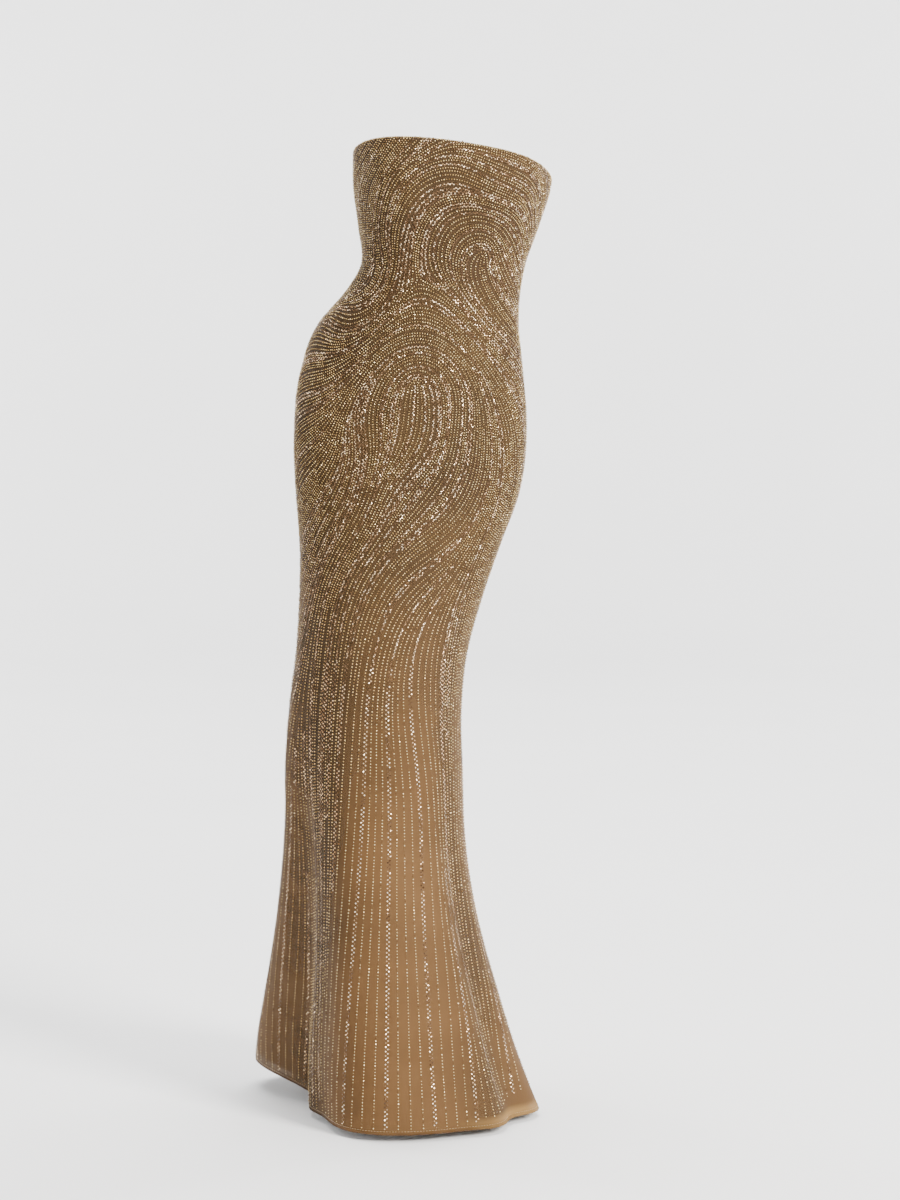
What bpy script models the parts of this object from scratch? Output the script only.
"""A strapless column gown of beaded tulle, with a lining and a centre-back zip.

Metres, +Z up. The origin is inside the gown at the height of the bust, where the wearer
holds it. The front faces -Y and +X is the wearer's left. The gown keeps the stance of
a general standing figure: hips to the wearer's right, left knee forward.
"""

import math

import bmesh
import bpy
import numpy as np
from mathutils import Matrix, Vector

# The cut: each row is a section round the gown, at its drop below the bust line. The
# section is an oval: its widest points lie half_width to the left and right of the
# centre, and front and back say how far it reaches from there.
SECTION_COLUMNS = ("drop", "centre_x", "centre_y", "half_width", "front", "back", "twist")
SECTIONS = (
    (-0.060, -0.0020, 0.000, 0.1370, 0.108, 0.101, 0.0),
    (0.000, -0.0010, 0.000, 0.1385, 0.114, 0.103, 0.0),
    (0.055, -0.0060, 0.002, 0.1270, 0.101, 0.097, 0.0),
    (0.115, -0.0150, 0.004, 0.1155, 0.090, 0.086, 0.0),
    (0.150, -0.0290, 0.006, 0.1235, 0.092, 0.091, 0.0),
    (0.190, -0.0475, 0.008, 0.1400, 0.095, 0.104, 0.0),
    (0.260, -0.0580, 0.010, 0.1570, 0.100, 0.121, 0.0),
    (0.345, -0.0600, 0.010, 0.1645, 0.104, 0.127, 0.0),
    (0.430, -0.0640, 0.006, 0.1580, 0.105, 0.117, 0.0),
    (0.500, -0.0740, 0.000, 0.1425, 0.105, 0.106, 0.0),
    (0.580, -0.0880, -0.010, 0.1290, 0.104, 0.100, 0.0),
    (0.650, -0.1000, -0.020, 0.1215, 0.104, 0.096, 0.0),
    (0.730, -0.1100, -0.028, 0.1225, 0.106, 0.098, 0.0),
    (0.820, -0.1135, -0.028, 0.1275, 0.116, 0.112, 0.0),
    (0.910, -0.1130, -0.022, 0.1310, 0.134, 0.138, -1.0),
    (1.010, -0.1090, -0.014, 0.1420, 0.158, 0.170, -3.0),
    (1.120, -0.1015, -0.008, 0.1625, 0.184, 0.212, -7.0),
    (1.230, -0.0935, -0.002, 0.1865, 0.206, 0.256, -13.0),
    (1.310, -0.0820, 0.000, 0.2040, 0.220, 0.286, -19.0),
)

# Where the cloth stands out from the sections: a turn is in degrees round from the front,
# positive to the wearer's left.
SWELL_COLUMNS = ("turn", "drop", "turn_spread", "drop_spread", "out")
SWELLS = (
    (-33.0, 0.010, 17.0, 0.050, 0.017),
    (33.0, 0.010, 17.0, 0.050, 0.017),
    (24.0, 0.690, 20.0, 0.090, 0.012),
)

# The folds of the skirt, each a ridge (out above 0) or a valley that starts at a drop
# and deepens to the hem, where it may lie at another turn.
FOLD_COLUMNS = ("start_drop", "start_turn", "hem_turn", "spread", "out")
FOLDS = (
    (0.560, -52.0, -86.0, 16.0, -0.084),
    (0.600, -34.0, -47.0, 17.0, -0.058),
    (0.860, -98.0, -114.0, 13.0, 0.046),
    (0.760, 42.0, 44.0, 8.0, 0.016),
    (0.760, 54.0, 57.0, 6.0, -0.012),
    (0.820, 64.0, 69.0, 9.0, 0.018),
    (0.820, 96.0, 100.0, 11.0, -0.016),
    (0.780, 128.0, 132.0, 12.0, -0.040),
    (0.780, 160.0, 160.0, 11.0, -0.042),
    (0.780, -154.0, -152.0, 12.0, -0.042),
)

# The top edge: its height over the bust line at the front, the sides and the back
TOP_MIDDLE = 0.0215
TOP_FRONT_RISE = 0.034
TOP_CORNER_RISE = 0.0025
TOP_LEFT_DIP = 0.019

# The hem hangs just above a floor, and lifts at the corner that trails behind
FLOOR_DROP = 1.306
HEM_LIFT = 0.010
CORNER_LIFT = 0.031
CORNER_TURN = -115.0
CORNER_SPREAD = 18.0

# The cloth
TULLE_WALL = 0.0015
LINING_WALL = 0.0010
SEAM_GAP = 0.0003
SIDE_SEAM = 0.512  # share of each half, from the front to the back, that the front takes
FRONT_COLUMNS = 28
BACK_COLUMNS = 13
ROWS = 35
TOP_ROW_SPACING = 0.75  # of the mean spacing

# The lining hangs free from above the knee, and ends short of the tulle
LINING_FIRST_ROW = 22
LINING_SHORTFALL = 0.024
LINING_TOP_GAP = 0.0004
LINING_HEM_GAP = 0.0050

# The zip
ZIP_LENGTH_ROWS = 12
TAPE_HALF_WIDTH = 0.012
TAPE_WALL = 0.0010
TAPE_GAP = 0.0005
TAPE_BELOW_EDGE = 0.004
SLIDER_BELOW_EDGE = 0.012
SLIDER_LENGTH = 0.011
SLIDER_WIDTH = 0.0062
SLIDER_PLATE = 0.0012
BRIDGE_LENGTH = 0.0062
BRIDGE_WIDTH = 0.0020
BRIDGE_BAR = 0.0009
BRIDGE_OPENING = 0.0019
PULL_THICKNESS = 0.0010
PULL_LENGTH = 0.0240
PULL_NECK_WIDTH = 0.0054
PULL_END_WIDTH = 0.0078
PULL_BAR = 0.0011
EYE_WIDTH = 0.0030
EYE_REACH = 0.0043  # from the hinge axis to the far end of the eye

TULLE = ("tulle", (0.42, 0.27, 0.12, 1.0), 0.75, 0.0)
LINING = ("lining", (0.40, 0.24, 0.10, 1.0), 0.60, 0.0)
TAPE = ("tape", (0.36, 0.24, 0.12, 1.0), 0.80, 0.0)
BRASS = ("brass", (0.72, 0.52, 0.25, 1.0), 0.30, 1.0)


def clear_scene():
    for obj in list(bpy.data.objects):
        bpy.data.objects.remove(obj, do_unlink=True)


def make_material(name, colour, roughness, metallic):
    material = bpy.data.materials.new(name)
    material.use_nodes = True
    shader = material.node_tree.nodes["Principled BSDF"]
    shader.inputs["Base Color"].default_value = colour
    shader.inputs["Roughness"].default_value = roughness
    shader.inputs["Metallic"].default_value = metallic
    return material


def table(columns, rows):
    """The table's columns by name."""
    return dict(zip(columns, np.array(rows).T))


def between(x, knots, values):
    """A smooth curve through the values, read at x."""
    slopes = np.gradient(values, knots)
    i = np.clip(np.searchsorted(knots, x) - 1, 0, len(knots) - 2)
    step = knots[i + 1] - knots[i]
    t = (x - knots[i]) / step
    start = values[i] * (1 + 2 * t) + slopes[i] * step * t
    end = values[i + 1] * (3 - 2 * t) - slopes[i + 1] * step * (1 - t)
    return start * (1 - t) ** 2 + end * t**2


def bump(turn, centre, spread):
    """1 at a turn in degrees, falling away to both sides. turn is in radians."""
    apart = (np.degrees(turn) - centre + 180.0) % 360.0 - 180.0
    return np.exp(-0.5 * (apart / spread) ** 2)


def top_drop(turn):
    """The top edge is highest in front, and lower on the wearer's left than on the right."""
    rise = TOP_FRONT_RISE * np.cos(turn) - TOP_CORNER_RISE * np.cos(2 * turn)
    return -(TOP_MIDDLE + rise - TOP_LEFT_DIP * np.sin(turn))


def hem_drop(turn):
    corner = CORNER_LIFT * bump(turn, CORNER_TURN, CORNER_SPREAD)
    return FLOOR_DROP - HEM_LIFT - corner


def surface(turn, drop):
    """Points of the tulle's outer face."""
    cut = table(SECTION_COLUMNS, SECTIONS)
    section = {
        name: between(drop, cut["drop"], cut[name]) for name in SECTION_COLUMNS[1:]
    }
    ahead = np.cos(turn) > 0
    depth = np.where(ahead, section["front"], section["back"])
    x = section["half_width"] * np.sin(turn)
    y = -depth * np.cos(turn)

    out = np.zeros_like(x)
    for row in SWELLS:
        swell = dict(zip(SWELL_COLUMNS, row))
        off = (drop - swell["drop"]) / swell["drop_spread"]
        out += (
            swell["out"]
            * np.exp(-0.5 * off**2)
            * bump(turn, swell["turn"], swell["turn_spread"])
        )
    for row in FOLDS:
        fold = dict(zip(FOLD_COLUMNS, row))
        way = (drop - fold["start_drop"]) / (FLOOR_DROP - fold["start_drop"])
        way = np.clip(way, 0.0, 1.0)
        centre = fold["start_turn"] + (fold["hem_turn"] - fold["start_turn"]) * way
        out += fold["out"] * way**1.5 * bump(turn, centre, fold["spread"])

    normal_x = np.sin(turn) / section["half_width"]
    normal_y = -np.cos(turn) / depth
    length = np.hypot(normal_x, normal_y)
    return np.stack(
        (
            section["centre_x"] + x + out * normal_x / length,
            section["centre_y"] + y + out * normal_y / length,
            -drop,
        ),
        axis=-1,
    )


def drop_at(turn, down):
    """The drop at a share of the way down from the top edge to the hem."""
    return top_drop(turn) * (1 - down) + hem_drop(turn) * down


def turn_at(share, down, shift=0.0):
    """The turn at a share of each half of the cloth, counted from the centre-front line.

    share runs from -1 at the centre back round the wearer's right to 0 in front and on
    to 1, and shift moves the place on by a length towards the wearer's left.
    """
    cut = table(SECTION_COLUMNS, SECTIONS)
    middle = np.radians(between(drop_at(0.0, down), cut["drop"], cut["twist"]))
    turns = middle + np.linspace(-math.pi, math.pi, 721)
    points = surface(turns, drop_at(turns, down))
    steps = np.linalg.norm(np.diff(points, axis=0), axis=1)
    lengths = np.concatenate(((0.0,), np.cumsum(steps)))
    front = lengths[360]
    half = lengths[-1] - front if share > 0 else front
    return float(np.interp(front + share * half + shift, lengths, turns))


def point_and_normal(turn, down, small=1e-3):
    """The point of the outer face there, and the way out of the cloth."""
    here = surface(turn, drop_at(turn, down))
    across = surface(turn + small, drop_at(turn + small, down)) - surface(
        turn - small, drop_at(turn - small, down)
    )
    along = surface(turn, drop_at(turn, down + small)) - surface(
        turn, drop_at(turn, down - small)
    )
    out = np.cross(along, across)
    return here, out / np.linalg.norm(out, axis=-1, keepdims=True)


def row_downs(count):
    """How far down each row of the cloth lies: the rows are closest at the bodice."""
    way = np.linspace(0.0, 1.0, count)
    return way * (TOP_ROW_SPACING + (1.0 - TOP_ROW_SPACING) * way)


def strip_turns(downs, shares, first_shift, last_shift):
    """The turns of a piece's columns in each row, with its two edges shifted."""
    shifts = np.zeros(len(shares))
    shifts[0] = first_shift
    shifts[-1] = last_shift
    return np.array(
        [[turn_at(share, down, shift) for share, shift in zip(shares, shifts)] for down in downs]
    )


def cloth_wall(name, turns, downs, inset, wall, material):
    """A closed wall of cloth: its outer face lies inset inside the tulle's outer face."""
    points, normals = point_and_normal(turns, downs[:, None] + np.zeros_like(turns))
    inset = np.broadcast_to(inset, len(downs))[:, None, None]
    rows, columns = turns.shape
    mesh = bmesh.new()
    outer = [[mesh.verts.new(p) for p in row] for row in points - normals * inset]
    inner = [[mesh.verts.new(p) for p in row] for row in points - normals * (inset + wall)]
    for i in range(rows - 1):
        for j in range(columns - 1):
            corners = ((i, j), (i + 1, j), (i + 1, j + 1), (i, j + 1))
            mesh.faces.new([outer[r][c] for r, c in corners])
            mesh.faces.new([inner[r][c] for r, c in (corners[0], *corners[:0:-1])])
    rim = [(0, c) for c in range(columns - 1)]
    rim += [(r, columns - 1) for r in range(rows - 1)]
    rim += [(rows - 1, c) for c in range(columns - 1, 0, -1)]
    rim += [(r, 0) for r in range(rows - 1, 0, -1)]
    for (r, c), (next_r, next_c) in zip(rim, rim[1:] + rim[:1]):
        mesh.faces.new((outer[r][c], outer[next_r][next_c], inner[next_r][next_c], inner[r][c]))
    return add_object(name, mesh, material)


def add_object(name, mesh, material, matrix=None, parent=None):
    for face in mesh.faces:
        face.smooth = True
    data = bpy.data.meshes.new(name)
    mesh.to_mesh(data)
    mesh.free()
    data.materials.append(material)
    obj = bpy.data.objects.new(name, data)
    bpy.context.scene.collection.objects.link(obj)
    obj.parent = parent
    if matrix is not None:
        obj.matrix_world = matrix
    return obj


def panel_shares():
    """Each panel's columns, as shares of the half that they lie in."""
    return {
        "front": np.linspace(-SIDE_SEAM, SIDE_SEAM, FRONT_COLUMNS + 1),
        "back_left": np.linspace(SIDE_SEAM, 1.0, BACK_COLUMNS + 1),
        "back_right": np.linspace(-1.0, -SIDE_SEAM, BACK_COLUMNS + 1),
    }


def make_tulle(material):
    downs = row_downs(ROWS)
    for name, shares in panel_shares().items():
        turns = strip_turns(downs, shares, SEAM_GAP / 2, -SEAM_GAP / 2)
        cloth_wall(name, turns, downs, 0.0, TULLE_WALL, material)


def make_lining(material):
    """The lining's panels lie behind the tulle's, and fall away from them towards the hem."""
    downs = row_downs(ROWS)[LINING_FIRST_ROW:]
    downs[-1] = 1.0 - LINING_SHORTFALL / (FLOOR_DROP + TOP_MIDDLE)
    way = (downs - downs[0]) / (downs[-1] - downs[0])
    gap = LINING_TOP_GAP + (LINING_HEM_GAP - LINING_TOP_GAP) * way**2
    for name, shares in panel_shares().items():
        turns = strip_turns(downs, shares, SEAM_GAP / 2, -SEAM_GAP / 2)
        cloth_wall("lining_" + name, turns, downs, TULLE_WALL + gap, LINING_WALL, material)


def make_zip_tape(material):
    downs = row_downs(ROWS)[:ZIP_LENGTH_ROWS]
    downs[0] = TAPE_BELOW_EDGE / (FLOOR_DROP + TOP_MIDDLE)
    turns = [
        [turn_at(1.0, down, shift) for shift in (-TAPE_HALF_WIDTH, 0.0)]
        + [turn_at(-1.0, down, TAPE_HALF_WIDTH) + 2 * math.pi]
        for down in downs
    ]
    cloth_wall("zip_tape", np.array(turns), downs, TULLE_WALL + TAPE_GAP, TAPE_WALL, material)


def rounded_outline(half_width, low, high, low_half_width=None, segments=8):
    """A plate's outline in x and z, with round ends at low and high."""
    low_half_width = low_half_width or half_width
    ends = ((high - half_width, half_width, 0.0), (low + low_half_width, low_half_width, math.pi))
    points = []
    for centre, radius, start in ends:
        for k in range(segments + 1):
            angle = start + math.pi * k / segments
            points.append((radius * math.cos(angle), centre + radius * math.sin(angle)))
    return points


def plate(outline, near, far):
    """The outline in x and z, made solid between two places on y."""
    mesh = bmesh.new()
    face = mesh.faces.new([mesh.verts.new((x, near, z)) for x, z in outline])
    pushed = bmesh.ops.extrude_face_region(mesh, geom=[face])["geom"]
    moved = [v for v in pushed if isinstance(v, bmesh.types.BMVert)]
    bmesh.ops.translate(mesh, verts=moved, vec=(0.0, far - near, 0.0))
    bmesh.ops.recalc_face_normals(mesh, faces=mesh.faces)
    return mesh


def block(low, high):
    """A closed box between two corners."""
    low, high = Vector(low), Vector(high)
    place = Matrix.Translation((low + high) / 2) @ Matrix.Diagonal((*(high - low), 1.0))
    mesh = bmesh.new()
    bmesh.ops.create_cube(mesh, size=1.0, matrix=place)
    return mesh


def combine(obj, other, operation):
    """Joins or cuts with a helper, which stays out of the render."""
    other.hide_render = True
    other.hide_viewport = True
    boolean = obj.modifiers.new(other.name, "BOOLEAN")
    boolean.operation = operation
    boolean.object = other


def slider_frame():
    """Where the slider lies: its y points out of the cloth and its z up the seam."""
    down = (TAPE_BELOW_EDGE + SLIDER_BELOW_EDGE) / (FLOOR_DROP + TOP_MIDDLE)
    here, out = point_and_normal(math.pi, down)
    out = Vector(out)
    side = Vector((1.0, 0.0, 0.0))
    up = side.cross(out)
    turn = Matrix((side, out, up)).transposed().to_4x4()
    return Matrix.Translation(Vector(here) + out * SEAM_GAP) @ turn


def make_slider(material):
    place = slider_frame()
    half = SLIDER_LENGTH / 2
    body = plate(rounded_outline(SLIDER_WIDTH / 2, -half, half), 0.0, SLIDER_PLATE)
    slider = add_object("zip_slider", body, material, place)
    wide, tall = BRIDGE_WIDTH / 2, BRIDGE_LENGTH / 2
    opening_top = SLIDER_PLATE + BRIDGE_OPENING
    bridge = block(
        (-wide, SLIDER_PLATE / 2, -tall), (wide, opening_top + BRIDGE_BAR, tall)
    )
    combine(slider, add_object("bridge_block", bridge, material, place), "UNION")
    opening = block(
        (-2 * wide, SLIDER_PLATE, -tall + BRIDGE_BAR), (2 * wide, opening_top, tall - BRIDGE_BAR)
    )
    combine(slider, add_object("bridge_opening", opening, material, place), "DIFFERENCE")
    return place @ Vector((0.0, SLIDER_PLATE + BRIDGE_OPENING / 2, 0.0))


def make_pull(axis_point, material):
    """The tab hangs straight down from the bridge. Its origin is on its hinge axis."""
    hinge = bpy.data.objects.new("pull_hinge", None)
    hinge.location = axis_point
    bpy.context.scene.collection.objects.link(hinge)
    place = Matrix.Translation(axis_point)
    half = PULL_THICKNESS / 2
    outline = rounded_outline(
        PULL_NECK_WIDTH / 2, -PULL_LENGTH, PULL_BAR / 2, PULL_END_WIDTH / 2
    )
    pull = add_object("zip_pull", plate(outline, -half, half), material, place)
    eye = block(
        (-EYE_WIDTH / 2, -2 * half, -EYE_REACH), (EYE_WIDTH / 2, 2 * half, -PULL_BAR / 2)
    )
    combine(pull, add_object("pull_eye", eye, material, place), "DIFFERENCE")
    bpy.context.view_layer.update()
    pull.parent = hinge
    pull.matrix_parent_inverse = hinge.matrix_world.inverted()


clear_scene()
tulle, lining, tape, brass = (make_material(*finish) for finish in (TULLE, LINING, TAPE, BRASS))
make_tulle(tulle)
make_lining(lining)
make_zip_tape(tape)
make_pull(make_slider(brass), brass)
